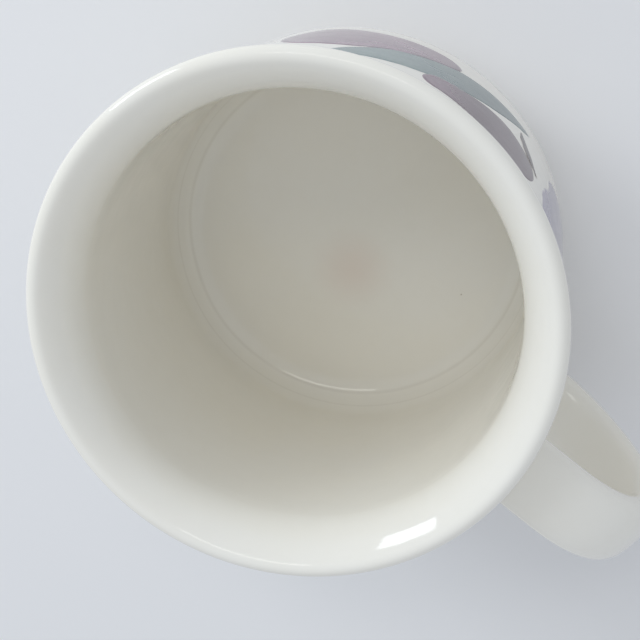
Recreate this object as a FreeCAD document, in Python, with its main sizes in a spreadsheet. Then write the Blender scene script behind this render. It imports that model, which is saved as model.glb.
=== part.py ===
import FreeCAD, Part
import math
import os
import Sketcher

# Ceramic mug, standing upright. Origin: centre of the foot ring, on the surface the mug stands on.
# +Z runs up the mug's axis to the mouth and +X points from the axis to the handle. Millimetres.

SIZES = {
    # Cup, seen as half a section through its axis.
    "cup_height": (76.0, "foot ring to top of lip"),
    "lip_radius": (46.0, "widest reach of the flared lip"),
    "lip_bead_radius": (1.7, "rounding over the top of the lip"),
    "lip_overhang": (3.0, "how far the lip reaches past the neck"),
    "flare_depth": (19.0, "neck, where the flare begins, below the top of the lip"),
    "throat_depth": (11.0, "throat, where the cavity is narrowest, below the top of the lip"),
    "throat_inset": (0.2, "how much thicker the wall is at the throat than below"),
    "wall_thickness": (4.4, "cup wall below the throat"),
    "belly_bulge": (1.4, "how far the belly reaches past the neck"),
    "belly_height": (17.0, "widest point of the belly above the foot"),
    "foot_inset": (10.8, "foot ring's outside, in from the belly"),
    "foot_height": (2.4, "height of the foot ring's outer side"),
    "foot_draft": (0.7, "how far that side leans out"),
    "foot_ring_width": (3.2, "width of the ring the mug stands on"),
    "foot_recess_depth": (2.9, "depth of the hollow under the cup"),
    "foot_recess_draft": (1.0, "how far the hollow's side leans in"),
    "floor_thickness": (4.5, "clay between the hollow underneath and the drinking side"),
    "floor_fillet_radius": (7.0, "curve from the floor up into the wall"),
    "foot_edge_radius": (0.8, "rounding of the foot ring's two lower edges"),
    "foot_roof_fillet": (1.2, "curve inside the hollow under the cup"),
    # Handle: a strap, placed by its centre line.
    "strap_width": (14.6, "width of the strap, across the handle"),
    "strap_thickness": (7.2, "thickness of the strap"),
    "strap_side_flat": (0.6, "flat left on the strap's sides between its rounded edges"),
    "handle_drop": (18.2, "upper limb below the top of the lip"),
    "handle_rise": (15.2, "lower limb above the foot"),
    "handle_projection": (30.6, "furthest point of the strap's centre line from the belly"),
    "handle_upper_bend": (17.5, "bend radius at the top of the handle"),
    "handle_lower_bend": (24.6, "bend radius at the bottom, below the upright grip"),
    # Bead of slip round each end of the strap.
    "slip_root_margin": (2.6, "how far the bead spreads past the strap at its root"),
    "slip_waist_margin": (0.8, "the same, at its waist"),
    "slip_tip_margin": (0.25, "the same, where the bead runs out on the strap"),
    "slip_length": (5.4, "length of the bead from inside the wall along the strap"),
    "slip_waist_length": (3.2, "length from inside the wall to its waist"),
    # Printed flower: one thin skin per colour. Across is measured round the wall,
    # anticlockwise from above, and above is measured up, both from the print's centre.
    "print_thickness": (0.15, "height of the printed colours above the wall"),
    "print_azimuth": (90.0, "direction of the print's centre from the handle"),
    "print_margin": (1.2, "least distance of a colour from the belly line and the neck"),
    "upper_petal_across": (-4.6, "middle of the petal"),
    "upper_petal_above": (11.9, "middle of the petal"),
    "upper_petal_turn": (9.5, "direction of the petal's tip, anticlockwise from level"),
    "upper_petal_length": (27.0, "end to end"),
    "upper_petal_broad_radius": (7.6, "rounding of its broad end"),
    "upper_petal_tip_radius": (4.0, "rounding of its tip"),
    "lower_petal_across": (20.8, "middle of the petal"),
    "lower_petal_above": (-4.3, "middle of the petal"),
    "lower_petal_turn": (197.5, "direction of the petal's tip, anticlockwise from level"),
    "lower_petal_length": (35.0, "end to end"),
    "lower_petal_broad_radius": (11.0, "rounding of its broad end"),
    "lower_petal_tip_radius": (4.0, "rounding of its tip"),
    "lavender_wash_across": (-32.0, "middle of the wash"),
    "lavender_wash_above": (0.0, "middle of the wash"),
    "lavender_wash_turn": (80.0, "direction of its narrow end, anticlockwise from level"),
    "lavender_wash_length": (34.6, "end to end"),
    "lavender_wash_broad_radius": (10.4, "rounding of its broad end"),
    "lavender_wash_tip_radius": (8.6, "rounding of its narrow end"),
    "teal_leaf_across": (6.6, "middle of the leaf"),
    "teal_leaf_above": (3.0, "middle of the leaf"),
    "teal_leaf_turn": (35.0, "direction of the leaf's length, anticlockwise from level"),
    "teal_leaf_length": (50.0, "tip to tip"),
    "teal_leaf_upper_bow": (5.4, "how far the upper side bows, upwards"),
    "teal_leaf_lower_bow": (-5.3, "how far the lower side bows, downwards"),
    "dark_stem_across": (-15.6, "middle of the stem"),
    "dark_stem_above": (0.4, "middle of the stem"),
    "dark_stem_turn": (122.0, "direction of the stem's length, anticlockwise from level"),
    "dark_stem_length": (13.0, "tip to tip"),
    "dark_stem_upper_bow": (-0.6, "how far its hollow side bows"),
    "dark_stem_lower_bow": (-2.0, "how far its full side bows, the same way"),
}

doc = FreeCAD.newDocument("ceramic_mug")
sheet = doc.addObject("Spreadsheet::Sheet", "Sizes")
for row, (name, (value, meaning)) in enumerate(SIZES.items(), start=1):
    sheet.set("A%d" % row, name)
    sheet.set("B%d" % row, str(value))
    sheet.set("C%d" % row, meaning)
    sheet.setAlias("B%d" % row, name)
doc.recompute()

UP = FreeCAD.Vector(0, 0, 1)
ORIGIN = (-1, 1)
LEVEL_AXIS = -1
UPRIGHT_AXIS = -2
CENTRE = 3


class Measure:
    """A length or angle worked out from the sheet: its value and the same sum as an expression."""

    def __init__(self, value, text):
        self.value = value
        self.text = text

    def __add__(self, other):
        return Measure(self.value + other.value, "(%s + %s)" % (self.text, other.text))

    def __sub__(self, other):
        return Measure(self.value - other.value, "(%s - %s)" % (self.text, other.text))

    def __mul__(self, factor):
        return Measure(self.value * factor, "(%s * %r)" % (self.text, factor))

    def __truediv__(self, other):
        return Measure(self.value / other.value, "(%s / %s)" % (self.text, other.text))


def size(name):
    """A size straight from the sheet."""
    return Measure(SIZES[name][0], "Sizes." + name)


HALF = 0.5
LIP_CENTRE_RADIUS = size("lip_radius") - size("lip_bead_radius")
LIP_CENTRE_HEIGHT = size("cup_height") - size("lip_bead_radius")
NECK_RADIUS = size("lip_radius") - size("lip_overhang")
NECK_HEIGHT = size("cup_height") - size("flare_depth")
BELLY_RADIUS = NECK_RADIUS + size("belly_bulge")
BELLY_HEIGHT = size("belly_height")
CAVITY_RADIUS = BELLY_RADIUS - size("wall_thickness")
THROAT_RADIUS = NECK_RADIUS - size("wall_thickness") - size("throat_inset")
THROAT_HEIGHT = size("cup_height") - size("throat_depth")
FLOOR_HEIGHT = size("foot_recess_depth") + size("floor_thickness")
FOOT_RADIUS = BELLY_RADIUS - size("foot_inset")
FOOT_TOP_RADIUS = FOOT_RADIUS + size("foot_draft")
RECESS_RADIUS = FOOT_RADIUS - size("foot_ring_width")
ROOF_RADIUS = RECESS_RADIUS - size("foot_recess_draft")
UPPER_LIMB_HEIGHT = size("cup_height") - size("handle_drop")
LOWER_LIMB_HEIGHT = size("handle_rise")
HANDLE_REACH = BELLY_RADIUS + size("handle_projection")
HALF_WALL = size("wall_thickness") * HALF
UPPER_ROOT_RADIUS = NECK_RADIUS - HALF_WALL
LOWER_ROOT_RADIUS = BELLY_RADIUS - HALF_WALL
STRAP_EDGE_RADIUS = (size("strap_thickness") - size("strap_side_flat")) * HALF
PRINT_HEIGHT = (BELLY_HEIGHT + NECK_HEIGHT) * HALF
DEGREES_PER_RADIAN = 180 / math.pi


def point(across, up):
    """A point in a sketch."""
    return FreeCAD.Vector(across, up, 0)


def place(across, up):
    """A point in a sketch, from two measures."""
    return point(across.value, up.value)


def new_sketch(body, name, role, across=None, out=None, turn=None):
    """A sketch on one of the body's origin planes, moved along the plane or out from it."""
    sketch = body.newObject("Sketcher::SketchObject", name)
    planes = [plane for plane in body.Origin.OriginFeatures if plane.Role == role]
    sketch.AttachmentSupport = [(planes[0], "")]
    sketch.MapMode = "FlatFace"
    shift = FreeCAD.Vector(0, across.value if across else 0, out.value if out else 0)
    rotation = FreeCAD.Rotation(UP, turn.value if turn else 0)
    sketch.AttachmentOffset = FreeCAD.Placement(shift, rotation)
    for measure, path in ((across, "Base.y"), (out, "Base.z"), (turn, "Rotation.Angle")):
        if measure:
            sketch.setExpression(".AttachmentOffset." + path, measure.text)
    return sketch


def dimension(sketch, kind, where, measure):
    """A driving dimension, bound to the sheet."""
    index = sketch.addConstraint(Sketcher.Constraint(kind, *where, measure.value))
    sketch.setExpression("Constraints[%d]" % index, measure.text)


def locate(sketch, where, across, up):
    """Dimension a point from the sketch's origin."""
    dimension(sketch, "DistanceX", ORIGIN + where, across)
    dimension(sketch, "DistanceY", ORIGIN + where, up)


def relate(sketch, kind, *where):
    """A geometric constraint."""
    sketch.addConstraint(Sketcher.Constraint(kind, *where))


def arc_between(centre, radius, begin, finish):
    """An anticlockwise arc between two directions from its centre."""
    circle = Part.Circle(centre, UP, radius)
    return Part.ArcOfCircle(circle, math.atan2(begin.y, begin.x), math.atan2(finish.y, finish.x))


class Outline:
    """Lines and arcs drawn end to end in a sketch; remembers which end of each is which."""

    def __init__(self, sketch, start):
        self.sketch = sketch
        self.start = start
        self.here = start
        self.ends = []

    def add(self, geometry, forwards, there):
        index = self.sketch.addGeometry(geometry, False)
        self.ends.append((1, 2) if forwards else (2, 1))
        self.here = there
        return index

    def line(self, there):
        return self.add(Part.LineSegment(self.here, there), True, there)

    def arc(self, centre, there):
        """The shorter way round a centre."""
        first = self.here - centre
        last = there - centre
        forwards = first.x * last.y - first.y * last.x > 0
        begin, finish = (first, last) if forwards else (last, first)
        return self.add(arc_between(centre, first.Length, begin, finish), forwards, there)

    def head(self, number):
        return (number, self.ends[number][0])

    def tail(self, number):
        return (number, self.ends[number][1])

    def join(self, smooth):
        """Join every piece to the next; smooth says which of the joins are tangent."""
        for number, tangent in enumerate(smooth):
            following = self.head((number + 1) % len(smooth))
            relate(self.sketch, "Tangent" if tangent else "Coincident", *self.tail(number), *following)


def wall_centre(low, high):
    """Centre of a wall's arc that stands upright at low and passes through high."""
    inset = low.x - high.x
    radius = (inset ** 2 + (high.y - low.y) ** 2) / (2 * inset)
    return low - point(radius, 0)


def flare_centre(start, normal, lip_centre, reach):
    """Centre of the arc that leaves start square to normal and touches the lip's bead.

    The reach is the bead's radius, negative where the arc goes round the bead.
    """
    gap = start - lip_centre
    return start + normal * ((gap.Length ** 2 - reach ** 2) / (2 * (reach - gap.dot(normal))))


def draw_cup_section(sketch):
    """Half section of the cup: floor, cavity wall, lip, outside wall, foot ring."""
    bead = size("lip_bead_radius")
    lip_centre = place(LIP_CENTRE_RADIUS, LIP_CENTRE_HEIGHT)
    cavity_low = place(CAVITY_RADIUS, FLOOR_HEIGHT + size("floor_fillet_radius"))
    throat = place(THROAT_RADIUS, THROAT_HEIGHT)
    neck = place(NECK_RADIUS, NECK_HEIGHT)
    belly = place(BELLY_RADIUS, BELLY_HEIGHT)
    foot_top = place(FOOT_TOP_RADIUS, size("foot_height"))
    fillet_centre = cavity_low - point(size("floor_fillet_radius").value, 0)
    cavity_centre = wall_centre(cavity_low, throat)
    cavity_normal = (throat - cavity_centre).normalize()
    inner_flare = flare_centre(throat, cavity_normal, lip_centre, -bead.value)
    outside_centre = wall_centre(belly, neck)
    outside_normal = (neck - outside_centre).normalize()
    outer_flare = flare_centre(neck, outside_normal, lip_centre, bead.value)
    shoulder_chord = belly - foot_top
    shoulder_radius = shoulder_chord.Length ** 2 / (2 * shoulder_chord.x)

    outline = Outline(sketch, point(0, FLOOR_HEIGHT.value))
    floor = outline.line(point(fillet_centre.x, FLOOR_HEIGHT.value))
    fillet = outline.arc(fillet_centre, cavity_low)
    cavity = outline.arc(cavity_centre, throat)
    outline.arc(inner_flare, lip_centre + (lip_centre - inner_flare).normalize() * bead.value)
    lip = outline.arc(lip_centre, lip_centre + (outer_flare - lip_centre).normalize() * bead.value)
    outer = outline.arc(outer_flare, neck)
    outline.arc(outside_centre, belly)
    shoulder = outline.arc(belly - point(shoulder_radius, 0), foot_top)
    outline.line(point(FOOT_RADIUS.value, 0))
    ring = outline.line(point(RECESS_RADIUS.value, 0))
    outline.line(place(ROOF_RADIUS, size("foot_recess_depth")))
    roof = outline.line(point(0, size("foot_recess_depth").value))
    axis = outline.line(outline.start)

    outline.join([True] * 7 + [False] * 6)
    for level in (floor, ring, roof):
        relate(sketch, "Horizontal", level)
    relate(sketch, "Vertical", axis)
    relate(sketch, "PointOnObject", *outline.head(floor), UPRIGHT_AXIS)
    relate(sketch, "PointOnObject", *outline.head(ring), LEVEL_AXIS)
    relate(sketch, "Horizontal", fillet, CENTRE, *outline.tail(fillet))
    relate(sketch, "Horizontal", shoulder, CENTRE, *outline.head(shoulder))
    dimension(sketch, "Radius", (fillet,), size("floor_fillet_radius"))
    dimension(sketch, "Radius", (lip,), bead)
    dimension(sketch, "DistanceY", ORIGIN + outline.head(floor), FLOOR_HEIGHT)
    dimension(sketch, "DistanceX", ORIGIN + outline.tail(fillet), CAVITY_RADIUS)
    dimension(sketch, "DistanceX", ORIGIN + outline.head(ring), FOOT_RADIUS)
    dimension(sketch, "DistanceX", ORIGIN + outline.tail(ring), RECESS_RADIUS)
    locate(sketch, outline.tail(cavity), THROAT_RADIUS, THROAT_HEIGHT)
    locate(sketch, (lip, CENTRE), LIP_CENTRE_RADIUS, LIP_CENTRE_HEIGHT)
    locate(sketch, outline.tail(outer), NECK_RADIUS, NECK_HEIGHT)
    locate(sketch, outline.head(shoulder), BELLY_RADIUS, BELLY_HEIGHT)
    locate(sketch, outline.tail(shoulder), FOOT_TOP_RADIUS, size("foot_height"))
    locate(sketch, outline.head(roof), ROOF_RADIUS, size("foot_recess_depth"))


def turn(body, name, sketch):
    """Turn a half section all the way round the mug's axis."""
    turned = body.newObject("PartDesign::Revolution", name)
    turned.Profile = sketch
    turned.ReferenceAxis = (sketch, ["V_Axis"])
    turned.Angle = 360
    doc.recompute()
    return turned


def rounded(body, name, base, circles, radius):
    """Fillet the base's round edges about the axis; circles lists their radii and heights."""
    edges = []
    for number, edge in enumerate(base.Shape.Edges, start=1):
        if not isinstance(edge.Curve, Part.Circle):
            continue
        found = point(edge.Curve.Radius, edge.Curve.Center.z)
        if any((found - circle).Length < 1e-4 for circle in circles):
            edges.append("Edge%d" % number)
    fillet = body.newObject("PartDesign::Fillet", name)
    fillet.Base = (base, edges)
    fillet.Radius = radius.value
    fillet.setExpression("Radius", radius.text)
    doc.recompute()
    return fillet


# Cup: one turned section, then the foot ring's edges rounded.
cup = doc.addObject("PartDesign::Body", "cup_body")
cup_section = new_sketch(cup, "cup_section", "XZ_Plane")
draw_cup_section(cup_section)
turned_cup = turn(cup, "turned_cup", cup_section)
ring_circles = [point(FOOT_RADIUS.value, 0), point(RECESS_RADIUS.value, 0)]
ring_edges = rounded(cup, "foot_ring_edges", turned_cup, ring_circles, size("foot_edge_radius"))
roof_circles = [place(ROOF_RADIUS, size("foot_recess_depth"))]
rounded(cup, "foot_roof_curve", ring_edges, roof_circles, size("foot_roof_fillet"))


def draw_strap_section(sketch, height, margin=None):
    """The strap's rounded section, centred at a height and grown by a margin all round."""
    width = size("strap_width")
    depth = size("strap_thickness")
    corner = STRAP_EDGE_RADIUS
    if margin:
        width = width + margin * 2
        depth = depth + margin * 2
        corner = corner + margin
    middle = point(0, height.value)
    side = width.value / 2
    edge = depth.value / 2
    flat_side = side - corner.value
    flat_edge = edge - corner.value
    outline = Outline(sketch, middle + point(-flat_side, -edge))
    lower = outline.line(middle + point(flat_side, -edge))
    outline.arc(middle + point(flat_side, -flat_edge), middle + point(side, -flat_edge))
    right = outline.line(middle + point(side, flat_edge))
    outline.arc(middle + point(flat_side, flat_edge), middle + point(flat_side, edge))
    upper = outline.line(middle + point(-flat_side, edge))
    outline.arc(middle + point(-flat_side, flat_edge), middle + point(-side, flat_edge))
    left = outline.line(middle + point(-side, -flat_edge))
    last = outline.arc(middle + point(-flat_side, -flat_edge), outline.start)
    outline.join([True] * 8)
    relate(sketch, "Vertical", right)
    relate(sketch, "Horizontal", upper)
    relate(sketch, "Vertical", left)
    for straight in (lower, right, upper):
        relate(sketch, "Equal", straight + 1, last)
    relate(sketch, "Symmetric", *outline.head(lower), *outline.tail(lower), UPRIGHT_AXIS)
    dimension(sketch, "Radius", (last,), corner)
    dimension(sketch, "DistanceX", outline.head(left) + outline.head(right), width)
    dimension(sketch, "DistanceY", outline.head(lower) + outline.head(upper), depth)
    dimension(sketch, "DistanceY", ORIGIN + outline.head(lower), height - depth * HALF)


def draw_handle_path(sketch):
    """Centre line of the strap: out, round the top bend, down the grip, round, back in."""
    bend = size("handle_upper_bend")
    turn = size("handle_lower_bend")
    upper_centre = place(HANDLE_REACH - bend, UPPER_LIMB_HEIGHT - bend)
    lower_centre = place(HANDLE_REACH - turn, LOWER_LIMB_HEIGHT + turn)
    outline = Outline(sketch, place(UPPER_ROOT_RADIUS, UPPER_LIMB_HEIGHT))
    upper = outline.line(upper_centre + point(0, bend.value))
    top = outline.arc(upper_centre, point(HANDLE_REACH.value, upper_centre.y))
    outline.line(point(HANDLE_REACH.value, lower_centre.y))
    bottom = outline.arc(lower_centre, point(lower_centre.x, LOWER_LIMB_HEIGHT.value))
    lower = outline.line(place(LOWER_ROOT_RADIUS, LOWER_LIMB_HEIGHT))
    for number in range(lower):
        relate(sketch, "Tangent", *outline.tail(number), *outline.head(number + 1))
    relate(sketch, "Horizontal", upper)
    relate(sketch, "Horizontal", lower)
    relate(sketch, "Horizontal", top, CENTRE, *outline.tail(top))
    dimension(sketch, "Radius", (top,), bend)
    dimension(sketch, "Radius", (bottom,), turn)
    dimension(sketch, "DistanceX", ORIGIN + outline.tail(top), HANDLE_REACH)
    locate(sketch, outline.head(upper), UPPER_ROOT_RADIUS, UPPER_LIMB_HEIGHT)
    locate(sketch, outline.tail(lower), LOWER_ROOT_RADIUS, LOWER_LIMB_HEIGHT)


def cut(name, base, tool):
    """What is left of base outside tool."""
    result = doc.addObject("Part::Cut", name)
    result.Base = base
    result.Tool = tool
    return result


# Handle: the rounded strap swept along its centre line, trimmed where it meets the cup.
strap = doc.addObject("PartDesign::Body", "strap_blank")
path = new_sketch(strap, "handle_path", "XZ_Plane")
draw_handle_path(path)
strap_section = new_sketch(strap, "strap_section", "YZ_Plane", out=UPPER_ROOT_RADIUS)
draw_strap_section(strap_section, UPPER_LIMB_HEIGHT)
doc.recompute()
sweep = strap.newObject("PartDesign::AdditivePipe", "swept_strap")
sweep.Profile = strap_section
sweep.Spine = (path, ["Edge%d" % number for number in range(1, path.GeometryCount + 1)])
doc.recompute()
handle = cut("handle_strap", strap, cup)


def slip_bead(name, root, height):
    """The bead of slip round one end of the strap, from inside the wall to where it runs out."""
    blank = doc.addObject("PartDesign::Body", name + "_blank")
    stations = (
        (root, size("slip_root_margin")),
        (root + size("slip_waist_length"), size("slip_waist_margin")),
        (root + size("slip_length"), size("slip_tip_margin")),
    )
    sections = []
    for number, (station, margin) in enumerate(stations, start=1):
        sketch = new_sketch(blank, "%s_section_%d" % (name, number), "YZ_Plane", out=station)
        draw_strap_section(sketch, height, margin)
        sections.append(sketch)
    doc.recompute()
    loft = blank.newObject("PartDesign::AdditiveLoft", name + "_loft")
    loft.Profile = sections[0]
    loft.Sections = sections[1:]
    loft.Ruled = False
    doc.recompute()
    return cut(name, cut(name + "_outside_wall", blank, cup), handle)


upper_slip = slip_bead("upper_joint_slip", UPPER_ROOT_RADIUS, UPPER_LIMB_HEIGHT)
lower_slip = slip_bead("lower_joint_slip", LOWER_ROOT_RADIUS, LOWER_LIMB_HEIGHT)


def draw_print_strip(sketch):
    """Section of the printed skin on the outside wall, between belly and neck."""
    belly = place(BELLY_RADIUS, BELLY_HEIGHT)
    neck = place(NECK_RADIUS, NECK_HEIGHT)
    centre = wall_centre(belly, neck)
    bottom = BELLY_HEIGHT + size("print_margin")
    top = NECK_HEIGHT - size("print_margin")
    wall_radius = belly.x - centre.x

    def on_arc(radius, height):
        rise = height.value - centre.y
        return point(centre.x + math.sqrt(radius ** 2 - rise ** 2), height.value)

    face_radius = wall_radius + size("print_thickness").value
    outline = Outline(sketch, on_arc(wall_radius, bottom))
    lower_edge = outline.line(on_arc(face_radius, bottom))
    face = outline.arc(centre, on_arc(face_radius, top))
    upper_edge = outline.line(on_arc(wall_radius, top))
    back = outline.arc(centre, outline.start)
    outline.join([False] * 4)
    relate(sketch, "Coincident", face, CENTRE, back, CENTRE)
    relate(sketch, "Horizontal", lower_edge)
    relate(sketch, "Horizontal", upper_edge)
    belly_mark = sketch.addGeometry(Part.Point(belly), True)
    neck_mark = sketch.addGeometry(Part.Point(neck), True)
    locate(sketch, (belly_mark, 1), BELLY_RADIUS, BELLY_HEIGHT)
    locate(sketch, (neck_mark, 1), NECK_RADIUS, NECK_HEIGHT)
    relate(sketch, "PointOnObject", belly_mark, 1, back)
    relate(sketch, "PointOnObject", neck_mark, 1, back)
    relate(sketch, "Horizontal", back, CENTRE, belly_mark, 1)
    dimension(sketch, "DistanceY", ORIGIN + outline.head(lower_edge), bottom)
    dimension(sketch, "DistanceY", ORIGIN + outline.head(upper_edge), top)
    dimension(sketch, "Distance", (face, 1, back), size("print_thickness"))


# Printed flower: a skin that follows the wall, cut to each colour's outline.
skin = doc.addObject("PartDesign::Body", "print_skin")
print_strip = new_sketch(skin, "print_strip", "XZ_Plane")
draw_print_strip(print_strip)
turn(skin, "turned_skin", print_strip)


def draw_petal(sketch, name):
    """A petal along the sketch's level axis: a broad end, a tip, straight sides between."""
    broad = size(name + "_broad_radius")
    tip = size(name + "_tip_radius")
    half_length = size(name + "_length") * HALF
    broad_centre = point(broad.value - half_length.value, 0)
    tip_centre = point(half_length.value - tip.value, 0)
    lean = math.asin((broad.value - tip.value) / (tip_centre.x - broad_centre.x))
    upward = point(math.sin(lean), math.cos(lean))
    downward = point(upward.x, -upward.y)
    outline = Outline(sketch, broad_centre + upward * broad.value)
    outline.line(tip_centre + upward * tip.value)
    tip_arc = arc_between(tip_centre, tip.value, downward, upward)
    tip_end = outline.add(tip_arc, False, tip_centre + downward * tip.value)
    outline.line(broad_centre + downward * broad.value)
    broad_arc = arc_between(broad_centre, broad.value, upward, downward)
    broad_end = outline.add(broad_arc, False, outline.start)
    outline.join([True] * 4)
    relate(sketch, "PointOnObject", tip_end, CENTRE, LEVEL_AXIS)
    relate(sketch, "PointOnObject", broad_end, CENTRE, LEVEL_AXIS)
    dimension(sketch, "Radius", (tip_end,), tip)
    dimension(sketch, "Radius", (broad_end,), broad)
    dimension(sketch, "DistanceX", (broad_end, CENTRE) + ORIGIN, half_length - broad)
    dimension(sketch, "DistanceX", ORIGIN + (tip_end, CENTRE), half_length - tip)


def draw_bowed(sketch, name):
    """Two arcs between a pair of tips on the sketch's level axis, each with its own bow."""
    half_length = size(name + "_length") * HALF
    half = half_length.value
    outline = Outline(sketch, point(-half, 0))
    for side, tip in (("_upper_bow", half), ("_lower_bow", -half)):
        bow = size(name + side)
        radius = (half ** 2 + bow.value ** 2) / (2 * abs(bow.value))
        arc = outline.arc(point(0, bow.value - math.copysign(radius, bow.value)), point(tip, 0))
        sagitta = "(%s^2 + %s^2) / (2 * abs(%s))" % (half_length.text, bow.text, bow.text)
        dimension(sketch, "Radius", (arc,), Measure(radius, sagitta))
    outline.join([False] * 2)
    relate(sketch, "PointOnObject", *outline.head(0), LEVEL_AXIS)
    relate(sketch, "PointOnObject", *outline.tail(0), LEVEL_AXIS)
    dimension(sketch, "DistanceX", outline.head(0) + ORIGIN, half_length)
    dimension(sketch, "DistanceX", ORIGIN + outline.tail(0), half_length)


def printed_colour(name, draw):
    """One printed colour: the skin inside an outline drawn square to the wall."""
    cutter = doc.addObject("PartDesign::Body", name + "_prism_blank")
    height = PRINT_HEIGHT + size(name + "_above")
    sketch = new_sketch(cutter, name + "_outline", "YZ_Plane", height, None, size(name + "_turn"))
    draw(sketch, name)
    doc.recompute()
    prism = cutter.newObject("PartDesign::Pad", name + "_prism")
    prism.Profile = sketch
    prism.Length = size("lip_radius").value
    prism.setExpression("Length", size("lip_radius").text)
    doc.recompute()
    colour = doc.addObject("Part::Common", name + "_decal")
    colour.Base = skin
    colour.Tool = cutter
    turned_by = size(name + "_across") / BELLY_RADIUS * DEGREES_PER_RADIAN
    azimuth = size("print_azimuth") + turned_by
    colour.Placement = FreeCAD.Placement(point(0, 0), FreeCAD.Rotation(UP, azimuth.value))
    colour.setExpression(".Placement.Rotation.Angle", azimuth.text)
    return colour


colours = [
    printed_colour("upper_petal", draw_petal),
    printed_colour("lower_petal", draw_petal),
    printed_colour("lavender_wash", draw_petal),
    printed_colour("teal_leaf", draw_bowed),
    printed_colour("dark_stem", draw_bowed),
]
doc.recompute()

for item in doc.Objects:
    if not item.isValid() or "Invalid" in item.State or "Error" in item.State:
        raise RuntimeError("%s did not build: %s" % (item.Name, item.State))

os.makedirs("parts", exist_ok=True)
for piece in [cup, handle, upper_slip, lower_slip] + colours:
    shape = piece.Shape
    if shape.isNull() or not shape.isValid() or len(shape.Solids) != 1:
        raise RuntimeError(piece.Label + " is not one sound solid")
    shape.exportStep("parts/%s.step" % piece.Label)
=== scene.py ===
import math

import bpy
import numpy as np
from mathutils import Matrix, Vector


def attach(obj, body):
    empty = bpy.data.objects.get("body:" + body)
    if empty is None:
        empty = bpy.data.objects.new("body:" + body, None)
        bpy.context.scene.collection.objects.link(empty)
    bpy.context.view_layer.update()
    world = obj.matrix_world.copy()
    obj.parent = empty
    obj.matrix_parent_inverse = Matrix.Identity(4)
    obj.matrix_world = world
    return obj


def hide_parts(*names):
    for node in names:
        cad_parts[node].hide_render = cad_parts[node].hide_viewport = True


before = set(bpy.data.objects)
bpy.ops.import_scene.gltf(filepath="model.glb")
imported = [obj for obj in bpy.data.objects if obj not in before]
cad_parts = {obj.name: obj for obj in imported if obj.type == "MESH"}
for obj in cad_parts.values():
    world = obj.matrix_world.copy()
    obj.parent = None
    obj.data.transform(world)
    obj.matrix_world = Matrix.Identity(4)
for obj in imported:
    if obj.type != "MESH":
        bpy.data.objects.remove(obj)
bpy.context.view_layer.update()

# Ceramic mug on a pale table. Sizes here are millimetres in the CAD frame, with the foot on
# z = 0, Z up the mug's axis and +X towards the handle. The meshes are in metres.
MM = 0.001

# Half section of the cup as (radius, height). The two drawn ends are the hollow underneath with
# the foot ring, and the floor. Arcs worked out from the places below join them.
UNDERSIDE = [
    (0.0, 2.9), (14.0, 2.9), (26.0, 2.9), (28.3, 2.8), (29.4, 2.3), (29.8, 1.5), (30.2, 0.7),
    (30.6, 0.2), (31.2, 0.0), (32.0, 0.0), (32.9, 0.0), (33.5, 0.2), (34.0, 0.8), (34.2, 1.7),
]
FLOOR = [(31.4, 7.5), (28.0, 7.5), (20.0, 7.4), (10.0, 7.4), (0.0, 7.4)]
FOOT_TOP = (34.5, 2.5)
BELLY = (44.4, 17.0)
NECK = (43.0, 57.0)
LIP_CENTRE = (44.3, 74.3)
LIP_BEAD = 1.74
THROAT = (38.4, 65.0)
CAVITY_FOOT = (40.0, 14.4)
FLOOR_FILLET_CENTRE = (33.0, 14.4)
FLOOR_FILLET_END = (33.0, 7.4)
ARC_POINTS = 9
# The outside wall, for what is laid on it: above this height and outside this radius.
OUTSIDE_FROM = 2.7
OUTSIDE_LEAST_RADIUS = 34.0
# Curves are drawn in fine steps and softened, and the section is then thinned for the mesh.
FINE = 0.1
SAMPLES_PER_SPAN = 24
SECTION_SOFTNESS = 0.5
SECTION_TURN = math.radians(4.0)
SECTION_LONGEST = 2.6
CUP_SEGMENTS = 288

# Handle: the strap's centre line in the X-Z plane, and the strap round it.
UPPER_LIMB_HEIGHT = 57.8
LOWER_LIMB_HEIGHT = 15.2
UPPER_BEND = (57.5, 40.3, 17.5)
LOWER_BEND = (50.4, 39.8, 24.6)
BEND_SOFTNESS = 1.6
STRAP_HALF_WIDTH = 7.3
STRAP_HALF_THICKNESS = 3.6
STRAP_SQUARENESS = 2.6
FILLET_SPREAD = 2.3
FILLET_LENGTH = 3.6
FILLET_RINGS = 14
# How far each limb keeps the wall's curve. Each ends before that limb's bend begins.
UPPER_CONFORMING_LENGTH = 9.0
LOWER_CONFORMING_LENGTH = 5.6
RING_STEP = 0.45
STRAP_SEGMENTS = 128
OUTLINE_ANGLES = 2001
OUTLINE_STEP = 0.02
ROOT_RADIUS = 38.0
# The first ring of each root lies this far inside the wall and this much wider than the fillet.
ROOT_SUNK = 0.12
ROOT_WIDER = 0.25


def through(points, per_span):
    """A smooth curve through the points: centripetal Catmull-Rom."""
    given = [np.array(p, float) for p in points]
    given = [2 * given[0] - given[1]] + given + [2 * given[-1] - given[-2]]
    curve = []
    for p0, p1, p2, p3 in zip(given, given[1:], given[2:], given[3:]):
        t1 = math.sqrt(np.linalg.norm(p1 - p0))
        t2 = t1 + math.sqrt(np.linalg.norm(p2 - p1))
        t3 = t2 + math.sqrt(np.linalg.norm(p3 - p2))
        for t in np.linspace(t1, t2, per_span, endpoint=False):
            a1 = ((t1 - t) * p0 + t * p1) / t1
            a2 = ((t2 - t) * p1 + (t - t1) * p2) / (t2 - t1)
            a3 = ((t3 - t) * p2 + (t - t2) * p3) / (t3 - t2)
            b1 = ((t2 - t) * a1 + t * a2) / t2
            b2 = ((t3 - t) * a2 + (t - t1) * a3) / (t3 - t1)
            curve.append(((t2 - t) * b1 + (t - t1) * b2) / (t2 - t1))
    curve.append(given[-2])
    return np.array(curve)


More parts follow.
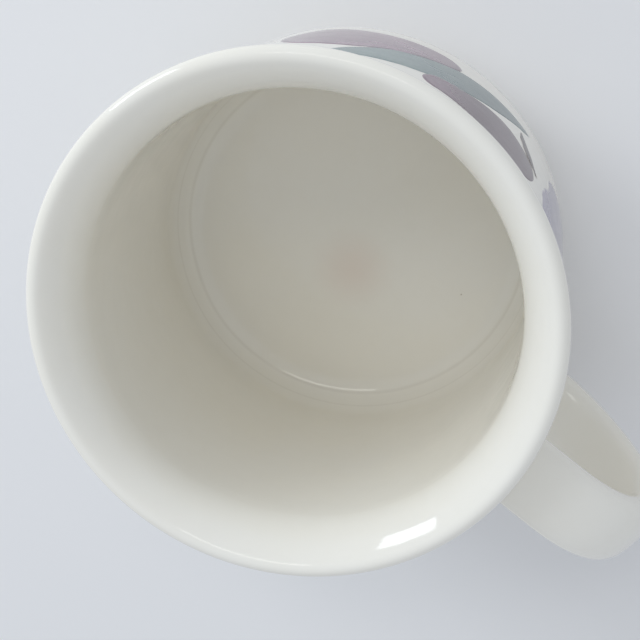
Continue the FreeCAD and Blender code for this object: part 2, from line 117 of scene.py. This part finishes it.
def evenly(curve, step):
    """The curve again, as points a step apart."""
    along = np.concatenate([[0.0], np.cumsum(np.linalg.norm(np.diff(curve, axis=0), axis=1))])
    at = np.linspace(0.0, along[-1], max(2, int(round(along[-1] / step)) + 1))
    return np.stack([np.interp(at, along, curve[:, k]) for k in range(curve.shape[1])], axis=1)


def softened(curve, spread, step):
    """The curve with its changes of curvature spread out. Its ends stay."""
    reach = int(math.ceil(4 * spread / step))
    weights = np.exp(-0.5 * (np.arange(-reach, reach + 1) * step / spread) ** 2)
    weights /= weights.sum()
    head = 2 * curve[0] - curve[reach:0:-1]
    tail = 2 * curve[-1] - curve[-2:-reach - 2:-1]
    padded = np.concatenate([head, curve, tail])
    return np.stack(
        [np.convolve(padded[:, k], weights, mode="valid") for k in range(curve.shape[1])], axis=1
    )


def thinned(curve, turn, longest):
    """Fewer points: one wherever the curve has turned so far, or run so long."""
    kept = [curve[0]]
    heading = None
    for before, here in zip(curve[:-1], curve[1:]):
        way = math.atan2(*(here - before)[::-1])
        if heading is None:
            heading = way
        swing = abs((way - heading + math.pi) % (2 * math.pi) - math.pi)
        if swing >= turn or np.linalg.norm(here - kept[-1]) >= longest:
            kept.append(here)
            heading = way
    kept[-1] = curve[-1]
    return np.array(kept)


def smooth_piece(name, points, faces, body="root"):
    """A smooth-shaded mesh piece from points in millimetres."""
    mesh = bpy.data.meshes.new(name)
    mesh.from_pydata([tuple(c * MM for c in p) for p in points], [], faces)
    mesh.validate()
    mesh.polygons.foreach_set("use_smooth", [True] * len(mesh.polygons))
    piece = bpy.data.objects.new(name, mesh)
    bpy.context.scene.collection.objects.link(piece)
    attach(piece, body)
    return piece


def grid_faces(rows, columns):
    """Quads between rows of points, each row closed on itself."""
    return [
        (r * columns + c, r * columns + (c + 1) % columns,
         (r + 1) * columns + (c + 1) % columns, (r + 1) * columns + c)
        for r in range(rows - 1)
        for c in range(columns)
    ]


# ---------------------------------------------------------------- cup


def arc_about(centre, start, end):
    """Points round a centre from start up to, but without, the end, the shorter way."""
    first, last = np.array(start) - centre, np.array(end) - centre
    begin = math.atan2(first[1], first[0])
    sweep = (math.atan2(last[1], last[0]) - begin + math.pi) % (2 * math.pi) - math.pi
    angles = begin + sweep * np.linspace(0, 1, ARC_POINTS, endpoint=False)
    return [tuple(np.array(centre) + math.hypot(*first) * np.array([math.cos(a), math.sin(a)]))
            for a in angles]


def upright_centre(low, high):
    """Centre of the arc that stands upright at low and passes through high."""
    inset = low[0] - high[0]
    radius = (inset ** 2 + (high[1] - low[1]) ** 2) / (2 * inset)
    return np.array([low[0] - radius, low[1]])


def flare_about(start, wall_centre, reach):
    """Centre of the arc that carries a wall on from start and touches the lip's bead."""
    normal = (np.array(start) - wall_centre) / np.linalg.norm(np.array(start) - wall_centre)
    gap = np.array(start) - LIP_CENTRE
    return np.array(start) + normal * (gap @ gap - reach ** 2) / (2 * (reach - gap @ normal))


def on_bead(toward):
    """The point of the lip's bead on the line from its centre towards, or away from, a place."""
    way = np.array(toward) / np.linalg.norm(toward)
    return tuple(np.array(LIP_CENTRE) + LIP_BEAD * way)


def cup_section():
    """Half section of the cup, from the hollow underneath round to the middle of the floor."""
    shoulder_chord = np.array(BELLY) - FOOT_TOP
    shoulder_centre = (BELLY[0] - shoulder_chord @ shoulder_chord / (2 * shoulder_chord[0]), BELLY[1])
    outside_centre = upright_centre(BELLY, NECK)
    cavity_centre = upright_centre(CAVITY_FOOT, THROAT)
    outer_flare = flare_about(NECK, outside_centre, LIP_BEAD)
    inner_flare = flare_about(THROAT, cavity_centre, -LIP_BEAD)
    outer_touch = on_bead(outer_flare - LIP_CENTRE)
    inner_touch = on_bead(LIP_CENTRE - inner_flare)
    top = (LIP_CENTRE[0], LIP_CENTRE[1] + LIP_BEAD)
    return (
        UNDERSIDE + arc_about(shoulder_centre, FOOT_TOP, BELLY)
        + arc_about(outside_centre, BELLY, NECK) + arc_about(outer_flare, NECK, outer_touch)
        + arc_about(LIP_CENTRE, outer_touch, top) + arc_about(LIP_CENTRE, top, inner_touch)
        + arc_about(inner_flare, inner_touch, THROAT) + arc_about(cavity_centre, THROAT, CAVITY_FOOT)
        + arc_about(FLOOR_FILLET_CENTRE, CAVITY_FOOT, FLOOR_FILLET_END) + FLOOR
    )


section = softened(evenly(through(cup_section(), SAMPLES_PER_SPAN), FINE), SECTION_SOFTNESS, FINE)
lip_index = int(np.argmax(section[:, 1]))
outside = section[:lip_index]
outside = outside[(outside[:, 1] > OUTSIDE_FROM) & (outside[:, 0] > OUTSIDE_LEAST_RADIUS)]


def wall_radius(height):
    """The cup's outside radius at a height."""
    return float(np.interp(height, outside[:, 1], outside[:, 0]))


def lathe(name, profile):
    """The profile turned about Z, closed at both ends on the axis."""
    rings = profile[1:-1]
    angles = np.linspace(0, 2 * math.pi, CUP_SEGMENTS, endpoint=False)
    points = [
        (radius * math.cos(angle), radius * math.sin(angle), height)
        for radius, height in rings
        for angle in angles
    ]
    faces = grid_faces(len(rings), CUP_SEGMENTS)
    bottom = len(points)
    points += [(0.0, 0.0, profile[0][1]), (0.0, 0.0, profile[-1][1])]
    last = (len(rings) - 1) * CUP_SEGMENTS
    for k in range(CUP_SEGMENTS):
        following = (k + 1) % CUP_SEGMENTS
        faces.append((bottom, following, k))
        faces.append((bottom + 1, last + k, last + following))
    return smooth_piece(name, points, faces)


profile = thinned(section, SECTION_TURN, SECTION_LONGEST)
cup = lathe("cup", profile)
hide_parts("cup_body")

# ---------------------------------------------------------------- handle


def arc(centre_x, centre_z, radius, start, end, count=60):
    """Points round an arc, between angles in degrees."""
    angles = np.radians(np.linspace(start, end, count))
    return np.stack([centre_x + radius * np.cos(angles), centre_z + radius * np.sin(angles)], axis=1)


def strap_outline(angle):
    """Lateral and outward offsets of the strap's surface from its centre line."""
    across = math.copysign(abs(math.cos(angle)) ** (2 / STRAP_SQUARENESS), math.cos(angle))
    out = math.copysign(abs(math.sin(angle)) ** (2 / STRAP_SQUARENESS), math.sin(angle))
    return STRAP_HALF_WIDTH * across, STRAP_HALF_THICKNESS * out


def outline_points():
    """The strap's section, evenly spaced round it."""
    dense = np.array([strap_outline(a) for a in np.linspace(0, 2 * math.pi, OUTLINE_ANGLES)])
    return evenly(dense, OUTLINE_STEP)


def resampled_closed(curve, count):
    """A closed curve as count points, evenly spaced."""
    along = np.concatenate([[0.0], np.cumsum(np.linalg.norm(np.diff(curve, axis=0), axis=1))])
    at = np.linspace(0.0, along[-1], count, endpoint=False)
    return np.stack([np.interp(at, along, curve[:, k]) for k in range(2)], axis=1)


strap = resampled_closed(outline_points(), STRAP_SEGMENTS)
strap_normals = np.roll(strap, -1, axis=0) - np.roll(strap, 1, axis=0)
strap_normals = np.stack([strap_normals[:, 1], -strap_normals[:, 0]], axis=1)
strap_normals /= np.linalg.norm(strap_normals, axis=1)[:, None]

ux, uz, ur = UPPER_BEND
lx, lz, lr = LOWER_BEND
centre_line = np.concatenate([
    [(ROOT_RADIUS, UPPER_LIMB_HEIGHT)], arc(ux, uz, ur, 90, 0), arc(lx, lz, lr, 0, -90)[1:],
    [(ROOT_RADIUS, LOWER_LIMB_HEIGHT)],
])
centre_line = softened(evenly(centre_line, FINE), BEND_SOFTNESS, FINE)


def root_ring(height, sign, away, spread):
    """A ring round a limb. Each of its points is the same distance along X from the wall."""
    ring = []
    for (across, out), (normal_across, normal_out) in zip(strap, strap_normals):
        y = across + spread * normal_across
        z = height + sign * (out + spread * normal_out)
        wall = math.sqrt(max(wall_radius(z) ** 2 - y * y, 0.0))
        ring.append((wall + away, y, z))
    return ring


def root_rings(height, sign, centre_x, conforming_length):
    """Rings from the wall to the free limb: a fillet that starts along the wall."""
    rings = []
    for number in range(-1, FILLET_RINGS + 1):
        turn = max(number, 0) / FILLET_RINGS * math.pi / 2
        away = FILLET_LENGTH * (1 - math.cos(turn))
        spread = FILLET_SPREAD * (1 - math.sin(turn))
        if number < 0:
            away, spread = -ROOT_SUNK, FILLET_SPREAD + ROOT_WIDER
        rings.append(root_ring(height, sign, away, spread))
    steps = int((conforming_length - FILLET_LENGTH) / RING_STEP)
    for number in range(1, steps + 1):
        away = FILLET_LENGTH + number * RING_STEP
        share = number / (steps + 1)
        share = share * share * (3 - 2 * share)
        plain = centre_x + away
        rings.append([
            (x + (plain - x) * share, y, z) for x, y, z in root_ring(height, sign, away, 0.0)
        ])
    return rings, centre_x + FILLET_LENGTH + (steps + 1) * RING_STEP


upper_rings, upper_end = root_rings(
    UPPER_LIMB_HEIGHT, 1, wall_radius(UPPER_LIMB_HEIGHT), UPPER_CONFORMING_LENGTH)
lower_rings, lower_end = root_rings(
    LOWER_LIMB_HEIGHT, -1, wall_radius(LOWER_LIMB_HEIGHT), LOWER_CONFORMING_LENGTH)
half = int(np.argmax(centre_line[:, 0]))
first = int(np.argmax(centre_line[:half, 0] >= upper_end))
last = half + int(np.argmax(centre_line[half:, 0] <= lower_end))
free = centre_line[first:last + 1]
free_rings = []
free_count = int(len(free) * FINE / RING_STEP)
for index in np.unique(np.round(np.linspace(0, len(free) - 1, free_count)).astype(int)):
    before = free[max(index - 1, 0)]
    after = free[min(index + 1, len(free) - 1)]
    tangent = (after - before) / np.linalg.norm(after - before)
    outward = np.array([-tangent[1], tangent[0]])
    free_rings.append([
        (free[index][0] + out * outward[0], across, free[index][1] + out * outward[1])
        for across, out in strap
    ])
rings = upper_rings + free_rings + lower_rings[::-1]
handle_points = [p for ring in rings for p in ring]
handle = smooth_piece(
    "handle", handle_points,
    [face[::-1] for face in grid_faces(len(rings), STRAP_SEGMENTS)],
)
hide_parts("handle_strap", "upper_joint_slip", "lower_joint_slip")

# ---------------------------------------------------------------- printed flower

PRINT_MIDDLE_HEIGHT = 37.0
PRINT_AZIMUTH = 90.0
PRINT_LIFT = 0.07
PRINT_RINGS = 26
PRINT_SEGMENTS = 200
PRINT_CROWDING = 0.7
WALL_ROUND = 44.0
PRINT_LAYER = 0.02
PRINT_EDGE_SUNK = 0.05
BRUSH_POINTS = 240
LEAF_POINTS = 60
TIP_POINTS = 40
BROAD_POINTS = 80


def printed(name, node, outline, lift):
    """A thin colour on the wall. Its outline is (across, above) in millimetres round its middle."""
    curve = resampled_closed(np.concatenate([outline, outline[:1]]), PRINT_SEGMENTS)
    middle = curve.mean(axis=0)
    points = []
    inward = []
    for ring in range(PRINT_RINGS + 1):
        share = (ring / PRINT_RINGS) ** PRINT_CROWDING
        rise = lift if ring < PRINT_RINGS else -PRINT_EDGE_SUNK
        for across, above in middle + (curve - middle) * share:
            gaps = np.hypot(curve[:, 0] - across, curve[:, 1] - above)
            inward.append(float(gaps.min()) if ring < PRINT_RINGS else 0.0)
            height = PRINT_MIDDLE_HEIGHT + above
            radius = wall_radius(height) + rise
            angle = math.radians(PRINT_AZIMUTH) + across / WALL_ROUND
            points.append((radius * math.cos(angle), radius * math.sin(angle), height))
    faces = grid_faces(PRINT_RINGS + 1, PRINT_SEGMENTS)
    piece = smooth_piece(name, points, faces)
    bpy.context.view_layer.update()
    attribute = piece.data.attributes.new("inward", "FLOAT", "POINT")
    attribute.data.foreach_set("value", inward)
    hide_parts(node)
    return piece


def wavy(outline, size, waves, seed):
    """An outline with the slow wobble of a brush's edge."""
    draw = np.random.RandomState(seed)
    closed = np.concatenate([outline, outline[:1]])
    even = resampled_closed(closed, BRUSH_POINTS)
    ahead = np.roll(even, -1, axis=0) - np.roll(even, 1, axis=0)
    normals = np.stack([ahead[:, 1], -ahead[:, 0]], axis=1)
    normals /= np.linalg.norm(normals, axis=1)[:, None]
    turn = np.linspace(0, 2 * math.pi, BRUSH_POINTS, endpoint=False)
    wobble = sum(
        draw.uniform(0.4, 1.0) / k ** 0.7 * np.sin(k * turn + draw.uniform(0, 2 * math.pi))
        for k in range(2, 2 + waves)
    )
    return even + normals * (size * wobble / np.abs(wobble).max())[:, None]


def turned(outline, angle, across, above):
    """The outline turned anticlockwise, then moved to its place."""
    c, s = math.cos(math.radians(angle)), math.sin(math.radians(angle))
    return outline @ np.array([[c, s], [-s, c]]) + np.array([across, above])


def petal(length, broad, tip):
    """A petal along +across: a broad round end and a smaller round tip."""
    back, front = -length / 2 + broad, length / 2 - tip
    lean = math.degrees(math.acos((broad - tip) / (front - back)))
    return np.concatenate([
        arc(front, 0, tip, -lean, lean, TIP_POINTS),
        arc(back, 0, broad, lean, 360 - lean, BROAD_POINTS),
    ])


def bowed(length, upper, lower):
    """A leaf along +across, pointed at both ends, between two bows."""
    t = np.linspace(0, 1, LEAF_POINTS)
    top = np.stack([length * (0.5 - t), upper * 4 * t * (1 - t)], axis=1)
    under = np.stack([length * (t - 0.5), lower * 4 * t * (1 - t)], axis=1)
    return np.concatenate([top, under[1:-1]])


upper_petal = printed(
    "upper_petal", "upper_petal_decal",
    wavy(turned(petal(28.2, 8.2, 4.6), 9.5, -4.6, 11.9), 0.4, 7, 3), PRINT_LIFT)
lower_petal = printed(
    "lower_petal", "lower_petal_decal",
    wavy(turned(petal(36.0, 11.5, 4.7), 197.5, 20.8, -4.3), 0.5, 7, 5), PRINT_LIFT)
lavender_wash = printed(
    "lavender_wash", "lavender_wash_decal",
    wavy(turned(petal(35.2, 10.7, 8.9), 80, -32.0, 0.0), 0.6, 9, 8), PRINT_LIFT - PRINT_LAYER)
teal_leaf = printed(
    "teal_leaf", "teal_leaf_decal",
    wavy(turned(bowed(51.6, 6.7, -6.7), 35, 6.6, 3.0), 0.35, 8, 2), PRINT_LIFT - PRINT_LAYER)
dark_stem = printed(
    "dark_stem", "dark_stem_decal",
    wavy(turned(bowed(14.0, 0.0, -2.4), 122, -15.6, 0.4), 0.12, 6, 7), PRINT_LIFT + PRINT_LAYER)

# ---------------------------------------------------------------- materials

GLAZE = (0.908, 0.876, 0.795)
GLAZE_WARM = (0.908, 0.868, 0.770)
GLAZE_FINE = (0.85, 0.80, 0.69)
GLAZE_SPECK = (0.36, 0.27, 0.17)
GLAZE_IOR = 1.52
BISQUE = (0.66, 0.57, 0.46)
BISQUE_PALE = (0.76, 0.69, 0.58)
# From here on in metres. The glaze stops between these heights and the bare foot begins.
GLAZED_FROM, BARE_BELOW = 0.00075, 0.00055
# The rings and the stain are kept to what lies within these radii. The underside does too.
OUTDOORS_RADIUS, INDOORS_RADIUS = 0.0405, 0.0402
# Thin rings round the foot of the inner wall, where the glaze pooled: from and to height, depth.
FLOOR_RINGS = ((0.0085, 0.0092, 0.22), (0.0108, 0.0114, 0.16))
RING_TONE = (0.62, 0.57, 0.47)
STAIN_PLACE = (0.0045, -0.0065, 0.0074)
STAIN_REACH = 0.011
STAIN_TONE = (0.80, 0.62, 0.52)
# The print is painted darker towards +X, the side turned away from the lights: painted shade. From and
# to along X, and how much.
PAINTED_SHADE_FROM, PAINTED_SHADE_TO, PAINTED_SHADE_SHARE = -0.014, 0.006, 0.85


class Nodes:
    """A material's node tree, built link by link."""

    def __init__(self, name):
        self.material = bpy.data.materials.new(name)
        self.material.use_nodes = True
        self.tree = self.material.node_tree
        self.shader = self.tree.nodes["Principled BSDF"]
        self.place = self.add("ShaderNodeTexCoord").outputs["Object"]

    def add(self, kind, **settings):
        node = self.tree.nodes.new(kind)
        for key, value in settings.items():
            setattr(node, key, value)
        return node

    def feed(self, socket, value):
        if isinstance(value, bpy.types.NodeSocket):
            self.tree.links.new(value, socket)
        elif isinstance(value, tuple) and len(value) == 3 and socket.type == "RGBA":
            socket.default_value = (*value, 1.0)
        else:
            socket.default_value = value

    def noise(self, scale, detail=3.0, roughness=0.5, distortion=0.0):
        node = self.add("ShaderNodeTexNoise")
        self.feed(node.inputs["Vector"], self.place)
        self.feed(node.inputs["Scale"], scale)
        self.feed(node.inputs["Detail"], detail)
        self.feed(node.inputs["Roughness"], roughness)
        self.feed(node.inputs["Distortion"], distortion)
        return node.outputs["Fac"]

    def remap(self, value, low, high, to_low=0.0, to_high=1.0):
        node = self.add("ShaderNodeMapRange", interpolation_type="SMOOTHSTEP")
        for socket, given in zip(node.inputs, (value, low, high, to_low, to_high)):
            self.feed(socket, given)
        return node.outputs["Result"]

    def math(self, operation, first, second=0.0):
        node = self.add("ShaderNodeMath", operation=operation)
        self.feed(node.inputs[0], first)
        self.feed(node.inputs[1], second)
        return node.outputs[0]

    def mix(self, share, first, second):
        node = self.add("ShaderNodeMix", data_type="RGBA")
        self.feed(node.inputs["Factor"], share)
        self.feed(node.inputs[6], first)
        self.feed(node.inputs[7], second)
        return node.outputs[2]

    def bump(self, height, strength, distance, normal=None):
        node = self.add("ShaderNodeBump")
        self.feed(node.inputs["Height"], height)
        self.feed(node.inputs["Strength"], strength)
        self.feed(node.inputs["Distance"], distance)
        if normal is not None:
            self.feed(node.inputs["Normal"], normal)
        return node.outputs["Normal"]

    def specks(self, scale, size, keep):
        """Sparse round specks: 1 in a speck."""
        cells = self.add("ShaderNodeTexVoronoi", feature="F1")
        self.feed(cells.inputs["Vector"], self.place)
        self.feed(cells.inputs["Scale"], scale)
        parts = self.add("ShaderNodeSeparateColor")
        self.feed(parts.inputs[0], cells.outputs["Color"])
        near = self.remap(cells.outputs["Distance"], size, size * 0.45)
        chosen = self.math("GREATER_THAN", parts.outputs[0], 1 - keep)
        return self.math("MULTIPLY", near, chosen)

    def height(self):
        split = self.add("ShaderNodeSeparateXYZ")
        self.feed(split.inputs[0], self.place)
        return split.outputs["Z"]

    def sideways(self):
        split = self.add("ShaderNodeSeparateXYZ")
        self.feed(split.inputs[0], self.place)
        return split.outputs["X"]

    def radius(self):
        """Distance from the mug's axis."""
        split = self.add("ShaderNodeSeparateXYZ")
        self.feed(split.inputs[0], self.place)
        squares = [self.math("MULTIPLY", split.outputs[k], split.outputs[k]) for k in "XY"]
        return self.math("SQRT", self.math("ADD", *squares))

    def distance(self, place):
        node = self.add("ShaderNodeVectorMath", operation="DISTANCE")
        self.feed(node.inputs[0], self.place)
        self.feed(node.inputs[1], place)
        return node.outputs["Value"]


def glaze_surface(nodes, colour, roughness=0.06):
    """The glossy glaze: colour, a faint unevenness, and its gloss."""
    uneven = nodes.noise(90.0, 2.0)
    skin = nodes.noise(900.0, 2.0)
    nodes.feed(nodes.shader.inputs["Base Color"], colour)
    gloss = nodes.remap(nodes.noise(140.0, 4.0), 0.3, 0.7, roughness - 0.01, roughness + 0.03)
    normal = nodes.bump(skin, 0.02, 0.0002, nodes.bump(uneven, 0.07, 0.0012))
    nodes.feed(nodes.shader.inputs["Normal"], normal)
    nodes.feed(nodes.shader.inputs["IOR"], GLAZE_IOR)
    return gloss


def ivory(nodes):
    """The glaze's own colour: slow warm and cool patches, with a few specks of iron."""
    cloudy = nodes.remap(nodes.noise(22.0, 3.0), 0.35, 0.7)
    colour = nodes.mix(cloudy, GLAZE, GLAZE_WARM)
    fine = nodes.remap(nodes.noise(260.0, 5.0, 0.6), 0.3, 0.75, 0.0, 0.10)
    colour = nodes.mix(fine, colour, GLAZE_FINE)
    small = nodes.math("MULTIPLY", nodes.specks(150.0, 0.045, 0.05), 0.55)
    large = nodes.math("MULTIPLY", nodes.specks(52.0, 0.022, 0.05), 0.7)
    return nodes.mix(nodes.math("MAXIMUM", small, large), colour, GLAZE_SPECK)


def cup_material():
    nodes = Nodes("ivory_glaze_on_cup")
    colour = ivory(nodes)
    indoors = nodes.remap(nodes.radius(), OUTDOORS_RADIUS, INDOORS_RADIUS)
    for low, high, depth in FLOOR_RINGS:
        middle = (low + high) / 2
        level = nodes.math("ADD", nodes.height(), nodes.math("MULTIPLY", nodes.noise(30.0), 0.0006))
        near = nodes.math("ABSOLUTE", nodes.math("SUBTRACT", level, middle))
        line = nodes.math("MULTIPLY", nodes.remap(near, (high - low) / 2, 0.0), indoors)
        colour = nodes.mix(nodes.math("MULTIPLY", line, depth), colour, RING_TONE)
    stain = nodes.remap(nodes.distance(STAIN_PLACE), STAIN_REACH, 0.0, 0.0, 0.35)
    colour = nodes.mix(nodes.math("MULTIPLY", stain, indoors), colour, STAIN_TONE)
    ragged = nodes.math("MULTIPLY", nodes.noise(420.0, 4.0), 0.0007)
    level = nodes.math("ADD", nodes.height(), ragged)
    bare = nodes.remap(level, GLAZED_FROM, BARE_BELOW)
    colour = nodes.mix(bare, colour, nodes.mix(nodes.noise(700.0, 6.0), BISQUE, BISQUE_PALE))
    gloss = glaze_surface(nodes, colour)
    blend = nodes.math("MAXIMUM", gloss, nodes.math("MULTIPLY", bare, 0.8))
    nodes.feed(nodes.shader.inputs["Roughness"], blend)
    return nodes.material


def handle_material():
    nodes = Nodes("ivory_glaze_on_handle")
    gloss = glaze_surface(nodes, ivory(nodes))
    nodes.feed(nodes.shader.inputs["Roughness"], gloss)
    return nodes.material


def print_material(name, pale, deep, line, painted_shade_colour, fade=0.6, outline=0.55):
    """A print under the glaze: pooled pigment, grain, an inked rim, a soft edge, and painted shade
    darkening it towards +X, the side away from the lights.
    """
    nodes = Nodes(name)
    inward = nodes.add("ShaderNodeAttribute", attribute_name="inward").outputs["Fac"]
    pool = nodes.remap(nodes.noise(70.0, 4.0, 0.55, 0.6), 0.30, 0.70)
    colour = nodes.mix(pool, pale, deep)
    bloom = nodes.remap(nodes.noise(190.0, 6.0, 0.62), 0.40, 0.75, 0.0, 0.4)
    colour = nodes.mix(bloom, colour, pale)
    wander = nodes.math("MULTIPLY", nodes.math("SUBTRACT", nodes.noise(230.0, 5.0, 0.6), 0.5), fade)
    reach = nodes.math("ADD", inward, wander)
    rim = nodes.math("MULTIPLY", nodes.remap(reach, 0.25, 0.5), nodes.remap(reach, 1.0, 0.55))
    broken = nodes.remap(nodes.noise(110.0, 2.0), 0.38, 0.58, 0.0, outline)
    # Painted shade: the print is darkened towards +X, the side away from the lights.
    painted_shade = nodes.remap(nodes.sideways(), PAINTED_SHADE_FROM, PAINTED_SHADE_TO, 0.0, PAINTED_SHADE_SHARE)
    colour = nodes.mix(painted_shade, colour, painted_shade_colour)
    colour = nodes.mix(nodes.math("MULTIPLY", rim, broken), colour, line)
    grain = nodes.remap(nodes.noise(1500.0, 3.0), 0.45, 0.8, 0.0, 0.05)
    colour = nodes.mix(grain, colour, GLAZE)
    colour = nodes.mix(nodes.remap(reach, 0.0, fade * 0.4, 1.0, 0.0), colour, ivory(nodes))
    nodes.feed(nodes.shader.inputs["Roughness"], glaze_surface(nodes, colour))
    return nodes.material


def finish_with(piece, material):
    piece.data.materials.clear()
    piece.data.materials.append(material)


# Each print's fifth colour is its painted shade, reached towards +X, away from the lights.
mauve = print_material(
    "mauve_watercolour", (0.37, 0.26, 0.315), (0.22, 0.14, 0.175), (0.08, 0.035, 0.05),
    (0.10, 0.062, 0.078))
teal = print_material(
    "teal_watercolour", (0.23, 0.30, 0.29), (0.155, 0.22, 0.215), (0.07, 0.11, 0.12),
    (0.085, 0.13, 0.135))
lavender = print_material(
    "lavender_watercolour", (0.47, 0.44, 0.52), (0.32, 0.29, 0.39), (0.24, 0.19, 0.31),
    (0.36, 0.33, 0.42), 2.4, 0.25)
maroon = print_material(
    "maroon_ink", (0.07, 0.025, 0.035), (0.04, 0.012, 0.02), (0.03, 0.01, 0.015),
    (0.04, 0.012, 0.02), 0.2)
finish_with(cup, cup_material())
finish_with(handle, handle_material())
for piece, material in (
    (upper_petal, mauve), (lower_petal, mauve), (lavender_wash, lavender),
    (teal_leaf, teal), (dark_stem, maroon),
):
    finish_with(piece, material)

# ---------------------------------------------------------------- table, light and camera

FLOOR_RADIUS = 6.0
TABLE = (0.855, 0.84, 0.83)
TABLE_SHADE = (0.84, 0.83, 0.82)
TABLE_CORNERS = 96
TABLE_DROP = 0.00002
LIGHT_AIM_HEIGHT = 0.04


def table_material():
    nodes = Nodes("pale_table")
    tint = nodes.mix(nodes.remap(nodes.noise(6.0, 3.0), 0.3, 0.7), TABLE, TABLE_SHADE)
    nodes.feed(nodes.shader.inputs["Base Color"], tint)
    nodes.feed(nodes.shader.inputs["Roughness"], nodes.remap(nodes.noise(60.0), 0.3, 0.7, 0.5, 0.62))
    return nodes.material


bpy.ops.mesh.primitive_circle_add(vertices=TABLE_CORNERS, radius=FLOOR_RADIUS, fill_type="NGON")
table = bpy.context.object
table.name = "table"
table.location.z = -TABLE_DROP
finish_with(table, table_material())


def soft_light(name, azimuth, elevation, distance, size, power, colour, glossy=True):
    """A rectangular area light that faces the mug from a direction in the mug's frame."""
    lamp = bpy.data.lights.new(name, "AREA")
    lamp.shape = "RECTANGLE"
    lamp.size, lamp.size_y = size
    lamp.energy = power
    lamp.color = colour
    light = bpy.data.objects.new(name, lamp)
    bpy.context.scene.collection.objects.link(light)
    a, e = math.radians(azimuth), math.radians(elevation)
    away = Vector((math.cos(e) * math.cos(a), math.cos(e) * math.sin(a), math.sin(e)))
    light.location = away * distance + Vector((0, 0, LIGHT_AIM_HEIGHT))
    light.rotation_euler = away.to_track_quat("Z", "Y").to_euler()
    light.visible_camera = False
    light.visible_glossy = glossy
    return light


soft_light("window", 178, 19, 1.0, (0.30, 0.34), 2.1, (0.90, 0.96, 1.0))
soft_light("pane", 130, 58, 1.0, (0.50, 0.14), 0.5, (1.0, 0.97, 0.92))
soft_light("sky", 170, 41, 1.2, (1.0, 0.7), 3.9, (0.88, 0.93, 1.0), glossy=False)
soft_light("bounce", -28, 50, 1.3, (1.2, 1.2), 1.1, (0.95, 0.96, 1.0), glossy=False)

world = bpy.data.worlds.new("room")
bpy.context.scene.world = world
world.use_nodes = True
room = world.node_tree.nodes["Background"]
room.inputs["Color"].default_value = (0.85, 0.91, 1.0, 1.0)
room.inputs["Strength"].default_value = 0.61
bpy.context.scene.view_settings.view_transform = "Standard"

LENS = 67.5
SENSOR = 36.0
CAMERA_PLACE = (-0.00443, 0.07486, 0.25829)
CAMERA_TURN = (-17.90, 11.163, 37.254)
camera_data = bpy.data.cameras.new("camera")
camera_data.lens = LENS
camera_data.sensor_width = SENSOR
camera = bpy.data.objects.new("camera", camera_data)
camera.location = CAMERA_PLACE
camera.rotation_euler = [math.radians(angle) for angle in CAMERA_TURN]
bpy.context.scene.collection.objects.link(camera)
bpy.context.scene.camera = camera

bpy.context.view_layer.update()
